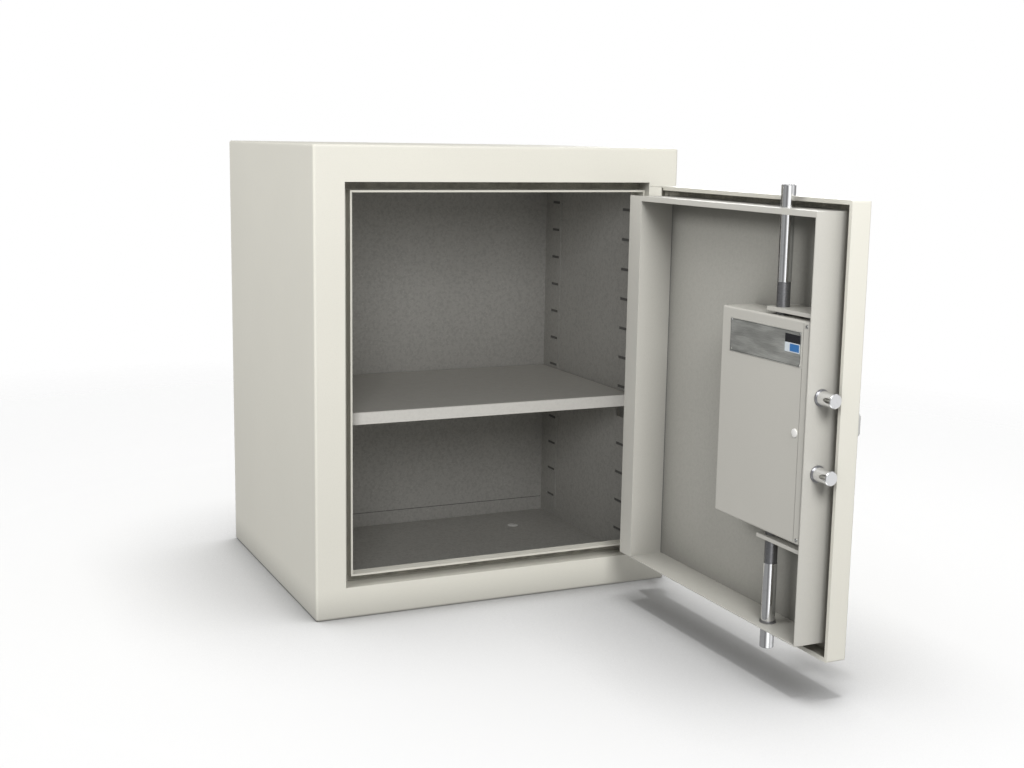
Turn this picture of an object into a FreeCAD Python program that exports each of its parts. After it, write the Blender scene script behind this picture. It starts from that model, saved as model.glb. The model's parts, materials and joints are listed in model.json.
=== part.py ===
import FreeCAD, Part
import os
import re

import Sketcher
from FreeCAD import Placement, Rotation, Vector

# Fire-resistant document cabinet with an inset steel door, in millimetres.
# Frame: origin at the middle of the base, +X to the right, +Y into the cabinet, +Z up.
# Depths named y_... are counted back from the plane of the cabinet's front.
# Every door piece is drawn with the door closed, and its placement then swings it open.

DIMENSIONS = {
    # cabinet body
    "width": 628, "depth": 514, "height": 740, "skin": 2, "edge_radius": 4, "liner": 1.2,
    "side_wall": 28, "roof_wall": 30, "floor_wall": 20, "rear_wall": 79, "rear_inset": 2,
    # doorway and its stepped fire joint
    "open_left": 49, "open_width": 526, "open_floor": 50, "open_height": 634,
    "step_width": 13, "step_depth": 35, "tongue": 3.2, "tongue_front": 15, "frame_plate": 2,
    "catch_edge": 247.5, "seal_inset": 2, "seal_wide": 9, "seal_thick": 1.5,
    # shelf, its uprights and clips
    "shelf_top": 314.5, "shelf_front": 76, "shelf_back": 433, "shelf_half": 283.5,
    "shelf_rim": 20, "sheet": 1.2, "shelf_radius": 2,
    "strip_wide": 44, "strip_low": 34, "strip_high": 700, "strip_fore": -140, "strip_aft": 134,
    "slot_first": 61, "slot_pitch": 52, "slot_tall": 5, "slot_wide": 30,
    "clip_reach": 8, "clip_half": 14, "clip_tab": 13, "clip_sheet": 1.2, "clip_rise": 2,
    "anchor_x": 181, "anchor_y": 84, "anchor_radius": 7, "cap_radius": 10, "cap_thick": 2,
    # hinges, with the pin's axis ahead of the front
    "hinge_x": 285.5, "hinge_out": 18, "door_angle": 90, "hinge_low": 150.5, "hinge_high": 584.5,
    "knuckle_radius": 9.5, "knuckle_tall": 36, "pin_radius": 5, "running_fit": 0.05,
    "washer_half": 1, "washer_play": 0.4, "washer_radius": 9, "pin_head": 8,
    "pin_head_tall": 3, "pin_gap": 0.6,
    "pad_thick": 5, "pad_left": 272, "pad_right": 299, "web_half": 6.5, "pad_extra": 8,
    "arm_left": 222, "arm_foot": 256, "arm_thick": 8, "arm_pad": 6,
    # door plate and the tray behind it
    "door_gap": 3, "door_thick": 32, "face_plate": 3, "pan_skin": 2, "door_lip": 6,
    "hinge_return": 10, "lip_end": 216, "door_radius": 3, "tray_lead": -241.5, "tray_heel": 216,
    "tray_low": 75, "tray_high": 666, "tray_depth": 72, "tray_skin": 2, "tray_hem": 8,
    "hem_thick": 1.5, "hook_end": 250, "panel_front": 12.5, "panel_back": 14,
    "gasket_inset": 4, "gasket_wide": 10, "gasket_thick": 3,
    # bolts and their guides
    "bolt_radius": 10, "bolt_y": 49, "bolt_tip": -272.5, "bolt_tail": -217, "side_high": 419.5,
    "side_low": 315.5, "top_tip": 697, "bottom_tip": 40, "tip_bevel": 0.9, "sleeve_radius": 9.3,
    "top_joint": 565, "bottom_joint": 165, "top_rod_end": 445, "bottom_rod_end": 290,
    "bush_radius": 11, "bush_collar": 11.6, "collar_thick": 3, "side_collar": 11.75,
    "side_collar_thick": 1.5, "side_bush_end": -237,
    "bracket_left": -239.5, "bracket_right": -130, "bracket_deep": 65, "bracket_high": 525,
    "bracket_low": 201.5, "bracket_thick": 5.5, "bracket_hole": 9.7,
    # spindle, cam and handle
    "spindle_x": -145, "spindle_z": 367.5, "spindle_radius": 6, "spindle_end": 40,
    "spindle_hole": 7.5, "cam_front": 30, "cam_back": 34, "cam_radius": 36, "hub_radius": 10,
    "hub_back": 37.5, "clip_back": 39, "clip_radius": 8.5, "pin_near": 15, "pin_far": 26,
    "pin_size": 3, "short_pin": 39.5, "long_pin": 44.5,
    "rose_radius": 26, "rose_thick": 6, "grip_back": 30, "grip_front": 52, "grip_half": 58,
    "grip_tall": 17, "grip_hub": 21, "hub_proud": 2, "grip_neck": 12, "grip_gap": 0.5,
    "grip_radius": 6, "hub_round": 1.8, "rose_bevel": 2,
    # plates that the cam pins move
    "bar_right": -205, "bar_front": 45, "bar_back": 56, "bar_low": 310, "bar_high": 425,
    "yoke_front": 36, "yoke_back": 39, "yoke_low": 387, "yoke_high": 405, "yoke_end": -152,
    "riser_low": 395, "pin_slot": 3.45, "slot_near": 22.4, "slot_far": 33.4,
    "strap_front": 41, "strap_back": 44, "leg_inner": 19, "leg_outer": 37, "leg_outer_low": 35,
    "foot_over": 20, "carrier_screw": 3, "carrier_head": 4, "carrier_head_thick": 3,
    # lock
    "lock_x": -213.5, "core_radius": 7, "core_end": 21, "lock_left": -233, "lock_right": -184,
    "lock_low": 328.5, "lock_high": 406.5, "lock_back": 33, "lock_skin": 2, "key_wide": 1.2,
    "key_tall": 8, "key_deep": 10, "lock_cam_back": 24.5, "drive_pin": 1.5, "drive_crank": 4,
    "lock_cam_radius": 15.5, "drive_end": 28.5, "tail_front": 25.2, "tail_back": 28.2, "lock_bolt_left": -224,
    "lock_bolt_head": -197, "lock_bolt_front": 17, "lock_bolt_half": 10, "lock_slot": 2,
    "slot_room": 0.4, "window_room": 0.6, "lock_screw_high": 400, "lock_screw_low": 335, "lock_screw_x": -228,
    # key escutcheon and the flap over the keyhole
    "plate_half": 13, "plate_down": 24, "plate_up": 24, "plate_thick": 4, "flap_gap": 0.4,
    "flap_thick": 2.4, "flap_radius": 11, "flap_pivot": 384, "flap_boss": 5, "rivet_radius": 1.5,
    "rivet_head": 3.2, "rivet_head_thick": 1.2,
    # cover over the boltwork, its plate and screws
    "cover_left": -235, "cover_right": -26, "cover_low": 215.5, "cover_high": 520.5,
    "cover_back": 69, "cover_skin": 1.5, "cover_radius": 3, "rod_slot": 11, "slot_back": 60,
    "cover_screw_x": -229, "cover_screw_low": 222, "cover_screw_high": 513.7, "screw_radius": 2,
    "screw_head": 4, "head_thick": 2, "cover_shank": 1.5, "cover_head": 2.6,
    "cover_head_thick": 1.2, "post_radius": 4, "thread": 12, "crease": -222, "crease_half": 0.5,
    "plug_radius": 6.2, "plug_stem": 4.5, "plug_deep": 4, "plug_thick": 2,
    "label_left": -218.4, "label_right": -50, "label_low": 457.5, "label_high": 505,
    "label_thick": 0.8, "label_inset": 2.5, "label_rivet": 1.2, "rivet_dome": 1.8,
    "dome_thick": 0.7,
    "sticker_left": -216.6, "sticker_right": -182.7, "sticker_low": 475.5, "sticker_high": 500,
    "sticker_thick": 0.2,
}
STRIP_SLOTS = 12
SHELF_SLOT = 4
NOMINAL = 10  # size a sketch is first drawn at, before its expressions place it

doc = FreeCAD.newDocument("document_cabinet")
sheet = doc.addObject("Spreadsheet::Sheet", "dims")
for row, (alias, value) in enumerate(DIMENSIONS.items(), start=1):
    sheet.set(f"A{row}", alias)
    sheet.set(f"B{row}", str(value))
    sheet.setAlias(f"B{row}", alias)
doc.recompute()

CELL = re.compile(r"\b(" + "|".join(DIMENSIONS) + r")\b")
PLANES = {"x": "YZ_Plane", "y": "XZ_Plane", "z": "XY_Plane"}
TURNS = {"x": Rotation(Vector(0, 1, 0), 90), "y": Rotation(Vector(1, 0, 0), -90), "z": Rotation()}
parts = []


def formula(text):
    """The same expression with every cell read from the sheet."""
    return CELL.sub(r"dims.\1", str(text))


def deep(distance):
    """The Y place at a distance behind the plane of the cabinet's front."""
    return f"(-depth / 2 + ({distance}))"


# ---------------------------------------------------------------- solids and booleans

def bind(obj, **sizes):
    for name, text in sizes.items():
        obj.setExpression(name, formula(text))


def move_to(obj, place):
    for axis, text in zip("xyz", place):
        obj.setExpression(f".Placement.Base.{axis}", formula(text))
    return obj


def box(x, y, z):
    """A block between two places along each axis."""
    obj = doc.addObject("Part::Box", "block")
    bind(obj, Length=f"{x[1]} - ({x[0]})", Width=f"{y[1]} - ({y[0]})", Height=f"{z[1]} - ({z[0]})")
    return move_to(obj, (x[0], y[0], z[0]))


def along(axis, centre, start):
    """The place at a start along one axis and a centre on the other two."""
    place = list(centre)
    place.insert("xyz".index(axis), start)
    return place


def rod(axis, centre, radius, span):
    """A cylinder along an axis between two places."""
    obj = doc.addObject("Part::Cylinder", "round")
    obj.Placement = Placement(Vector(), TURNS[axis])
    bind(obj, Radius=radius, Height=f"{span[1]} - ({span[0]})")
    return move_to(obj, along(axis, centre, span[0]))


def taper(axis, centre, radii, span):
    """A cone along an axis between two places."""
    obj = doc.addObject("Part::Cone", "taper")
    obj.Placement = Placement(Vector(), TURNS[axis])
    bind(obj, Radius1=radii[0], Radius2=radii[1], Height=f"{span[1]} - ({span[0]})")
    return move_to(obj, along(axis, centre, span[0]))


def fuse(*pieces):
    obj = doc.addObject("Part::MultiFuse", "union")
    obj.Shapes = list(pieces)
    return obj


def cut(base, *tools):
    obj = doc.addObject("Part::Cut", "cut")
    obj.Base = base
    obj.Tool = tools[0] if len(tools) == 1 else fuse(*tools)
    return obj


def group(*pieces):
    """Separate solids that share one node."""
    obj = doc.addObject("Part::Compound", "set")
    obj.Links = list(pieces)
    return obj


def ring(x, y, z, thick):
    """A rectangular hoop of one wall thickness, open along Y."""
    return cut(box(x, y, z), box(inset(x, thick), past(y), inset(z, thick)))


def tube(axis, centre, radii, span):
    """A round sleeve with an outer and an inner radius."""
    return cut(rod(axis, centre, radii[0], span), rod(axis, centre, radii[1], past(span)))


def around(place, half):
    """The two places at half a size either side of one."""
    return f"{place} - {half}", f"{place} + {half}"


def inset(span, amount):
    """A span made shorter at both ends."""
    return f"{span[0]} + {amount}", f"{span[1]} - {amount}"


def past(span):
    """A span for a cutting tool, one millimetre longer at both ends."""
    return f"{span[0]} - 1", f"{span[1]} + 1"


def finish(label, obj, on_door=False):
    """Name a sub-part, place it, and keep it for export."""
    if obj.TypeId in ("Part::Box", "Part::Cylinder"):
        obj = group(obj)
    obj.Label = label
    if on_door:
        hinge = f"vector(hinge_x; {deep('-hinge_out')}; 0)"
        turn = "rotation(vector(0; 0; 1); door_angle)"
        obj.setExpression("Placement", formula(f"placement(vector(0; 0; 0); {turn}; {hinge})"))
    parts.append(obj)


# ---------------------------------------------------------------- sketched bodies

def new_body():
    return doc.addObject("PartDesign::Body", "body")


def add_rectangle(sketch, across, up):
    """A rectangle placed from the sketch's origin by two opposite corners."""
    first = len(sketch.Geometry)
    corners = [Vector(x * NOMINAL, z * NOMINAL, 0) for x, z in ((0, 0), (1, 0), (1, 1), (0, 1))]
    for index in range(4):
        sketch.addGeometry(Part.LineSegment(corners[index], corners[(index + 1) % 4]))
    for index, direction in enumerate(("Horizontal", "Vertical", "Horizontal", "Vertical")):
        following = first + (index + 1) % 4
        sketch.addConstraint(Sketcher.Constraint("Coincident", first + index, 2, following, 1))
        sketch.addConstraint(Sketcher.Constraint(direction, first + index))
    for line, x, y in ((first, across[0], up[0]), (first + 2, across[1], up[1])):
        place_point(sketch, line, 1, x, y)


def add_circle(sketch, across, up, radius):
    circle = sketch.addGeometry(Part.Circle(Vector(0, 0, 0), Vector(0, 0, 1), NOMINAL))
    place_point(sketch, circle, 3, across, up)
    size = sketch.addConstraint(Sketcher.Constraint("Radius", circle, NOMINAL))
    sketch.setExpression(f"Constraints[{size}]", formula(radius))


def place_point(sketch, item, point, across, up):
    """Hold a point of a sketch at two expressions from the origin."""
    for direction, text in (("DistanceX", across), ("DistanceY", up)):
        place = sketch.addConstraint(Sketcher.Constraint(direction, -1, 1, item, point, NOMINAL))
        sketch.setExpression(f"Constraints[{place}]", formula(text))


def extrude(body, kind, axis, span, *outlines):
    """A pad or pocket between two places along an axis, from rectangles and circles."""
    sketch = body.newObject("Sketcher::SketchObject", "sketch")
    plane = next(item for item in body.Origin.OriginFeatures if item.Role == PLANES[axis])
    sketch.AttachmentSupport = [(plane, "")]
    sketch.MapMode = "FlatFace"
    side = "-" if axis == "y" else ""
    sketch.setExpression("AttachmentOffset.Base.z", formula(f"{side}({span[0]})"))
    for outline in outlines:
        draw = add_rectangle if len(outline) == 2 else add_circle
        draw(sketch, *outline)
    feature = body.newObject(f"PartDesign::{kind}", kind.lower())
    feature.Profile = sketch
    feature.Reversed = (kind == "Pad") == (axis == "y")
    bind(feature, Length=f"{span[1]} - ({span[0]})")
    doc.recompute()
    return feature


def runs_deep(edge):
    """True for an edge that runs from front to back."""
    return edge.YLength > 1


def in_front_plane(edge, ahead=0):
    """True for an edge in the plane of the cabinet's front, or a distance ahead of it."""
    return edge.YMax < 1 - DIMENSIONS["depth"] / 2 - ahead


def behind_front(edge, distance):
    """True for an edge that lies at least a distance behind the front."""
    return edge.YMin > distance - 1 - DIMENSIONS["depth"] / 2


def round_edges(body, radius, chosen):
    """Round the edges of the body so far whose bounding box passes a test."""
    base = body.Tip
    names = [f"Edge{i}" for i, edge in enumerate(base.Shape.Edges, 1) if chosen(edge.BoundBox)]
    fillet = body.newObject("PartDesign::Fillet", "fillet")
    fillet.Base = (base, names)
    bind(fillet, Radius=radius)
    doc.recompute()


# ---------------------------------------------------------------- shared places

OPEN_LEFT = "(-width / 2 + open_left)"
OPEN_RIGHT = "(-width / 2 + open_left + open_width)"
OPEN_TOP = "(open_floor + open_height)"
INNER = "(width / 2 - side_wall)"
ROOF = "(height - roof_wall)"
LINER_BACK = "(depth / 2 - rear_wall)"
LEAD = f"({OPEN_LEFT} + door_gap)"
HEEL = f"({OPEN_RIGHT} - door_gap)"
DOOR_LOW = "(open_floor + door_gap)"
DOOR_HIGH = f"({OPEN_TOP} - door_gap)"
BOLT_Y = deep("bolt_y")
PANEL = deep("panel_back")
FACE = deep("face_plate")
SPINDLE = ("spindle_x", "spindle_z")
LOCK = ("lock_x", "spindle_z")
ROD_AXIS = ("spindle_x", BOLT_Y)
TRAY_X = ("tray_lead", "tray_heel")
TRAY_Z = ("tray_low", "tray_high")
ANCHORS = (("-anchor_x", "anchor_y"), ("anchor_x", "anchor_y"))
SIDES = {"high": "side_high", "low": "side_low"}


# ---------------------------------------------------------------- cabinet

def outer_casing():
    body = new_body()
    extrude(body, "Pad", "y", (deep(0), "depth / 2"), (("-width / 2", "width / 2"), (0, "height")))
    round_edges(body, "edge_radius", lambda edge: runs_deep(edge) or in_front_plane(edge))
    room = (inset(("-width / 2", "width / 2"), "skin"), inset((0, "height"), "skin"))
    extrude(body, "Pocket", "y", (deep("skin"), "depth / 2 + 1"), room)
    doorway = ((OPEN_LEFT, OPEN_RIGHT), ("open_floor", OPEN_TOP))
    extrude(body, "Pocket", "y", (deep(-1), deep("skin + 1")), doorway)
    holes = [(*place, "anchor_radius") for place in ANCHORS]
    extrude(body, "Pocket", "z", (-1, "skin + 1"), *holes)
    finish("outer_casing", body)


def rear_panel():
    body = new_body()
    inside = (inset(("-width / 2", "width / 2"), "skin"), inset((0, "height"), "skin"))
    extrude(body, "Pad", "y", ("depth / 2 - rear_inset - skin", "depth / 2 - rear_inset"), inside)
    finish("rear_panel", body)


def body_insulation():
    """Boards between the casing and the liner, and four bars round the doorway."""
    front = deep("skin")
    back = "depth / 2 - rear_inset - skin"
    across = inset(("-width / 2", "width / 2"), "skin")
    tall = inset((0, "height"), "skin")
    liner_x = inset((f"-{INNER}", INNER), "-liner")
    liner_z = inset(("floor_wall", ROOF), "-liner")
    frame_x = inset((OPEN_LEFT, OPEN_RIGHT), "-frame_plate")
    frame_z = inset(("open_floor", OPEN_TOP), "-frame_plate")
    behind = (f"{LINER_BACK} + liner", back)
    step = (front, deep("step_depth"))
    floor = box(liner_x, (front, back), (tall[0], liner_z[0]))
    holes = [rod("z", place, "anchor_radius", (0, "floor_wall")) for place in ANCHORS]
    finish("body_insulation", group(
        box((across[0], liner_x[0]), (front, back), tall),
        box((liner_x[1], across[1]), (front, back), tall),
        box(liner_x, (front, back), (liner_z[1], tall[1])),
        cut(floor, *holes),
        box(liner_x, behind, liner_z),
        box((liner_x[0], frame_x[0]), step, liner_z),
        box((frame_x[1], liner_x[1]), step, liner_z),
        box(frame_x, step, (liner_z[0], frame_z[0])),
        box(frame_x, step, (frame_z[1], liner_z[1]))))


def inner_liner():
    body = new_body()
    outside = (inset((f"-{INNER}", INNER), "-liner"), inset(("floor_wall", ROOF), "-liner"))
    extrude(body, "Pad", "y", (deep("step_depth"), f"{LINER_BACK} + liner"), outside)
    room = ((f"-{INNER}", INNER), ("floor_wall", ROOF))
    extrude(body, "Pocket", "y", (deep("step_depth - 1"), LINER_BACK), room)
    holes = [(*place, "anchor_radius") for place in ANCHORS]
    extrude(body, "Pocket", "z", ("floor_wall - liner - 1", "floor_wall + 1"), *holes)
    finish("inner_liner", body)


def front_frame():
    """The stepped doorway: outer wall, inner tongue, and the plate that the bolts hook behind.

    On the hinge side the tongue stands against the wall, because the door's edge turns there.
    """
    back = deep("step_depth + frame_plate")
    wall_x = inset((OPEN_LEFT, OPEN_RIGHT), "-frame_plate")
    wall_z = inset(("open_floor", OPEN_TOP), "-frame_plate")
    wall = ring(wall_x, (deep("skin"), deep("step_depth")), wall_z, "frame_plate")
    tongue_x = (f"{OPEN_LEFT} + step_width", OPEN_RIGHT)
    tongue_z = inset(("open_floor", OPEN_TOP), "step_width")
    tongue = ring(tongue_x, (deep("tongue_front"), back), tongue_z, "tongue")
    plate = box((f"-{INNER}", INNER), (deep("step_depth"), back), ("floor_wall", ROOF))
    mouth_x = (f"{tongue_x[0]} + tongue", "catch_edge")
    mouth = box(mouth_x, past((deep("step_depth"), back)), inset(tongue_z, "tongue"))
    finish("front_frame", fuse(wall, tongue, cut(plate, mouth)))


def frame_seal():
    """A strip in the bottom of the step, along the three sides that have one."""
    x = (f"{OPEN_LEFT} + seal_inset", f"{OPEN_RIGHT} - seal_inset")
    z = inset(("open_floor", OPEN_TOP), "seal_inset")
    y = (deep("step_depth - seal_thick"), deep("step_depth"))
    hinge_side = (f"{x[1]} - seal_wide", x[1])
    gap = box(past(hinge_side), past(y), inset(z, "seal_wide"))
    finish("frame_seal", cut(ring(x, y, z, "seal_wide"), gap))


def shelf():
    body = new_body()
    outline = (("-shelf_half", "shelf_half"), (deep("shelf_front"), deep("shelf_back")))
    extrude(body, "Pad", "z", ("shelf_top - shelf_rim", "shelf_top"), outline)
    level = DIMENSIONS["shelf_top"] - 1
    round_edges(body, "shelf_radius", lambda edge: edge.ZLength > 1 or edge.ZMin > level)
    room = [inset(span, "sheet") for span in outline]
    extrude(body, "Pocket", "z", ("shelf_top - shelf_rim - 1", "shelf_top - sheet"), room)
    finish("shelf", body)


def strip(x, middle):
    """One slotted upright."""
    bar = box(x, around(middle, "strip_wide / 2"), ("strip_low", "strip_high"))
    slots = []
    for index in range(STRIP_SLOTS):
        z = around(f"slot_first + slot_pitch * {index}", "slot_tall / 2")
        slots.append(box(past(x), around(middle, "slot_wide / 2"), z))
    return cut(bar, *slots)


def shelf_strips():
    left = (f"-{INNER}", f"-{INNER} + sheet")
    right = (f"{INNER} - sheet", INNER)
    for label, x in (("shelf_strips_left", left), ("shelf_strips_right", right)):
        finish(label, group(strip(x, "strip_fore"), strip(x, "strip_aft")))


def clip(side, middle):
    """One bent clip: a tab in the slot, a plate on the upright and a foot under the shelf's rim."""
    slot = f"(slot_first + slot_pitch * {SHELF_SLOT})"
    top = "(shelf_top - shelf_rim)"
    face = f"({INNER} - sheet)"
    y = around(middle, "clip_half")
    places = (
        ((face, INNER), around(middle, "clip_tab"), around(slot, "clip_rise")),
        ((f"{face} - clip_sheet", face), y, (f"{slot} - clip_rise", top)),
        ((f"{face} - clip_reach", face), y, (f"{top} - clip_sheet", top)),
    )
    pieces = []
    for x, depth, z in places:
        if side < 0:
            x = (f"-({x[1]})", f"-({x[0]})")
        pieces.append(box(x, depth, z))
    return fuse(*pieces)


def shelf_clips():
    middles = ("strip_fore", "strip_aft")
    finish("shelf_clips", group(*[clip(side, middle) for side in (-1, 1) for middle in middles]))


def anchor_plugs():
    z = ("floor_wall", "floor_wall + cap_thick")
    finish("anchor_plugs", group(*[rod("z", place, "cap_radius", z) for place in ANCHORS]))


# ---------------------------------------------------------------- hinges

HINGE_AXIS = ("hinge_x", deep("-hinge_out"))


def hinge_cabinet_half(label, level):
    low = f"({level} - washer_half - knuckle_tall)"
    high = f"({level} - washer_half)"
    knuckle = rod("z", HINGE_AXIS, "knuckle_radius", (low, high))
    pad = box(("pad_left", "pad_right"), (deep("-pad_thick"), deep(0)), (f"{low} - pad_extra", high))
    web = box(around("hinge_x", "web_half"), (deep("-hinge_out"), deep("-pad_thick")), (low, high))
    bore = rod("z", HINGE_AXIS, "pin_radius", past((low, high)))
    finish(f"hinge_leaf_cabinet_{label}", cut(fuse(knuckle, pad, web), bore))


def hinge_pin(label, level):
    low = f"{level} - washer_half - knuckle_tall"
    high = f"{level} + washer_half + knuckle_tall + pin_gap"
    shaft = rod("z", HINGE_AXIS, "pin_radius", (low, high))
    head = rod("z", HINGE_AXIS, "pin_head", (high, f"{high} + pin_head_tall"))
    finish(f"hinge_pin_{label}", fuse(shaft, head))


def hinge_washers():
    washers = []
    for level in ("hinge_low", "hinge_high"):
        z = (f"{level} - washer_half", f"{level} + washer_half - washer_play")
        washers.append(tube("z", HINGE_AXIS, ("washer_radius", "pin_radius"), z))
    finish("hinge_washers", group(*washers))


def hinge_door_half(label, level):
    low = f"({level} + washer_half)"
    high = f"({level} + washer_half + knuckle_tall)"
    knuckle = rod("z", HINGE_AXIS, "knuckle_radius", (low, high))
    arm_y = (deep("-arm_pad - arm_thick"), deep("-arm_pad"))
    arm = box(("arm_left", "hinge_x"), arm_y, (low, high))
    pad = box(("arm_left", "arm_foot"), (deep("-arm_pad"), deep(0)), (low, f"{high} + pad_extra"))
    bore = rod("z", HINGE_AXIS, "pin_radius + running_fit", past((low, high)))
    finish(f"hinge_leaf_door_{label}", cut(fuse(knuckle, arm, pad), bore), on_door=True)


# ---------------------------------------------------------------- door plate and tray

def door_pan():
    body = new_body()
    extrude(body, "Pad", "y", (deep(0), deep("door_thick")), ((LEAD, HEEL), (DOOR_LOW, DOOR_HIGH)))
    round_edges(body, "door_radius", lambda edge: runs_deep(edge) or in_front_plane(edge))
    room = (inset((LEAD, HEEL), "pan_skin"), inset((DOOR_LOW, DOOR_HIGH), "pan_skin"))
    lip_front = deep("door_thick - pan_skin")
    extrude(body, "Pocket", "y", (FACE, lip_front), room)
    mouth = ((f"{LEAD} + door_lip", f"{HEEL} - pan_skin"), inset((DOOR_LOW, DOOR_HIGH), "door_lip"))
    extrude(body, "Pocket", "y", (deep("door_thick - pan_skin - 1"), deep("door_thick + 1")), mouth)
    plain = (("lip_end", f"{HEEL} - pan_skin"), inset((DOOR_LOW, DOOR_HIGH), "pan_skin"))
    extrude(body, "Pocket", "y", (deep("door_thick - pan_skin - 1"), deep("door_thick + 1")), plain)
    heel = (past((f"{HEEL} - pan_skin", HEEL)), inset((DOOR_LOW, DOOR_HIGH), "pan_skin"))
    extrude(body, "Pocket", "y", (deep("hinge_return"), deep("door_thick + 1")), heel)
    holes = ((*SPINDLE, "spindle_hole"), (*LOCK, "core_radius + slot_room"))
    extrude(body, "Pocket", "y", (deep(-1), deep("face_plate + 1")), *holes)
    finish("door_pan", body, on_door=True)


def door_board(label, y):
    """A flat board or sheet that fills the tray, with holes for the spindle and the lock."""
    board = box(inset(TRAY_X, "tray_skin"), y, inset(TRAY_Z, "tray_skin"))
    spindle = rod("y", SPINDLE, "spindle_hole", past(y))
    core = rod("y", LOCK, "core_radius + slot_room", past(y))
    finish(label, cut(board, spindle, core), on_door=True)


def door_tray():
    back = deep("tray_depth")
    walls = ring(TRAY_X, (FACE, back), TRAY_Z, "tray_skin")
    hem = box(TRAY_X, (deep("tray_depth - hem_thick"), back), ("tray_high - tray_hem", "tray_high"))
    hook = box(("tray_heel - tray_skin", "hook_end"), (deep("tray_depth - tray_skin"), back), TRAY_Z)
    holes = [rod("z", ROD_AXIS, "bush_radius", around(end, "(tray_skin + 1)")) for end in TRAY_Z]
    for side in SIDES.values():
        holes.append(rod("x", (BOLT_Y, side), "bush_radius", around("tray_lead", "(tray_skin + 1)")))
    finish("door_tray", cut(fuse(walls, hem, hook), *holes), on_door=True)


def door_seal():
    x = inset((LEAD, HEEL), "gasket_inset")
    z = inset((DOOR_LOW, DOOR_HIGH), "gasket_inset")
    finish("door_seal", ring(x, (FACE, deep("face_plate + gasket_thick")), z, "gasket_wide"), on_door=True)


# ---------------------------------------------------------------- bolts and their guides

def bevelled(axis, centre, radius, span, tip_high):
    """A round bar with a bevel at one end."""
    small = f"{radius} - tip_bevel"
    if tip_high:
        joint = f"{span[1]} - tip_bevel"
        return fuse(rod(axis, centre, radius, (span[0], joint)),
                    taper(axis, centre, (radius, small), (joint, span[1])))
    joint = f"{span[0]} + tip_bevel"
    return fuse(rod(axis, centre, radius, (joint, span[1])),
                taper(axis, centre, (small, radius), (span[0], joint)))


def side_bolts():
    for label, level in (("upper", "side_high"), ("lower", "side_low")):
        centre = (BOLT_Y, level)
        bar = bevelled("x", centre, "bolt_radius", ("bolt_tip", "bolt_tail"), False)
        thread = rod("x", centre, "carrier_screw", ("bolt_tail - thread", "bolt_tail + 1"))
        finish(f"side_bolt_{label}", cut(bar, thread), on_door=True)


def bolt_carrier():
    """The bar behind the side bolts and the yoke plate that the cam pushes along."""
    x = ("bolt_tail", "bar_right")
    bar = box(x, (deep("bar_front"), deep("bar_back")), ("bar_low", "bar_high"))
    riser = box(x, (deep("yoke_front"), deep("bar_front")), ("riser_low", "yoke_high"))
    yoke_y = (deep("yoke_front"), deep("yoke_back"))
    yoke = box(("bolt_tail", "yoke_end"), yoke_y, ("yoke_low", "yoke_high"))
    slot = box(
        around("(spindle_x - pin_near)", "pin_slot"),
        past(yoke_y),
        ("spindle_z + slot_near", "spindle_z + slot_far"))
    holes = [rod("x", (BOLT_Y, side), "carrier_screw", past(x)) for side in SIDES.values()]
    finish("bolt_carrier", cut(fuse(bar, riser, yoke), slot, *holes), on_door=True)


def carrier_screws():
    screws = []
    for side in SIDES.values():
        centre = (BOLT_Y, side)
        shank = rod("x", centre, "carrier_screw", ("bolt_tail - thread", "bar_right"))
        head = rod("x", centre, "carrier_head", ("bar_right", "bar_right + carrier_head_thick"))
        screws.append(fuse(shank, head))
    finish("carrier_screws", group(*screws), on_door=True)


def vertical_bolts():
    top = bevelled("z", ROD_AXIS, "bolt_radius", ("top_joint", "top_tip"), True)
    bottom = bevelled("z", ROD_AXIS, "bolt_radius", ("bottom_tip", "bottom_joint"), False)
    finish("top_bolt", group(top), on_door=True)
    finish("bottom_bolt", group(bottom), on_door=True)


def strap(side):
    """The flat strap of one vertical rod: a foot on the rod, a leg, and a slot for its cam pin."""
    y = (deep("strap_front"), deep("strap_back"))
    leg_x = ("spindle_x + leg_inner", "spindle_x + leg_outer")
    pin_z = "(spindle_z + pin_near)"
    leg_z = (f"{pin_z} - slot_near / 2", "top_rod_end")
    foot_x = ("spindle_x - bolt_radius", leg_x[1])
    foot_z = ("top_rod_end", "top_rod_end + foot_over")
    slot_x = ("spindle_x + slot_near", "spindle_x + slot_far")
    if side < 0:
        leg_x = ("spindle_x - leg_outer_low", "spindle_x - leg_inner")
        pin_z = "(spindle_z - pin_near)"
        leg_z = ("bottom_rod_end", f"{pin_z} + slot_near / 2")
        foot_x = (leg_x[0], "spindle_x + bolt_radius")
        foot_z = ("bottom_rod_end - foot_over", "bottom_rod_end")
        slot_x = ("spindle_x - slot_far", "spindle_x - slot_near")
    solid = fuse(box(leg_x, y, leg_z), box(foot_x, y, foot_z))
    return cut(solid, box(slot_x, past(y), around(pin_z, "pin_slot")))


def rods():
    top = rod("z", ROD_AXIS, "sleeve_radius", ("top_rod_end", "top_joint"))
    bottom = rod("z", ROD_AXIS, "sleeve_radius", ("bottom_joint", "bottom_rod_end"))
    finish("top_bolt_rod", fuse(top, strap(1)), on_door=True)
    finish("bottom_bolt_rod", fuse(bottom, strap(-1)), on_door=True)


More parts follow.
